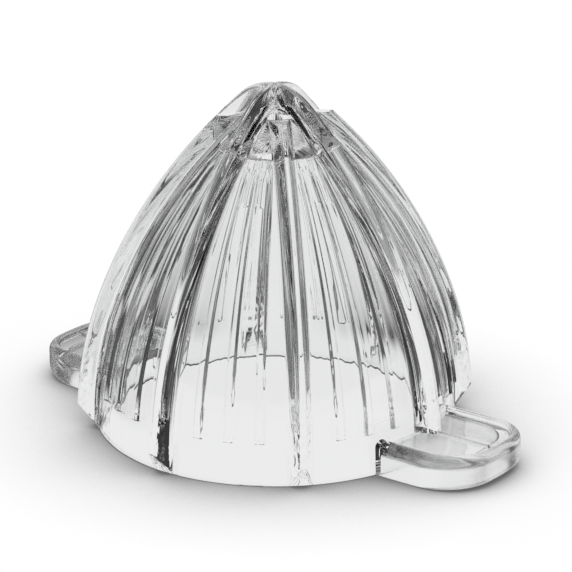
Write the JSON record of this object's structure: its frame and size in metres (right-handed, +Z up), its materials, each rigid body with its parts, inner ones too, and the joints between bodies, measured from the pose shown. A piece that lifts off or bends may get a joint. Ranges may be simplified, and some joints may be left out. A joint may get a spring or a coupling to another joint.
{
  "type": "juicing cone",
  "caption": "Hollow clear plastic juicing cone with tall sharp fins, fine ribs between them, and flat lifting tabs that stand out at its foot.",
  "frame": {"origin": "on the plane that the cone stands on, straight under its tip", "axes": "+Z up through the tip; the lifting tabs lie along +X and -X; +Y completes a right-handed frame"},
  "size_m": [0.1096, 0.08, 0.07],
  "materials": {
    "clear_plastic": "colourless, clear, high gloss"
  },
  "bodies": {
    "root": {"juicing_cone": "clear_plastic"}
  },
  "joints": []
}
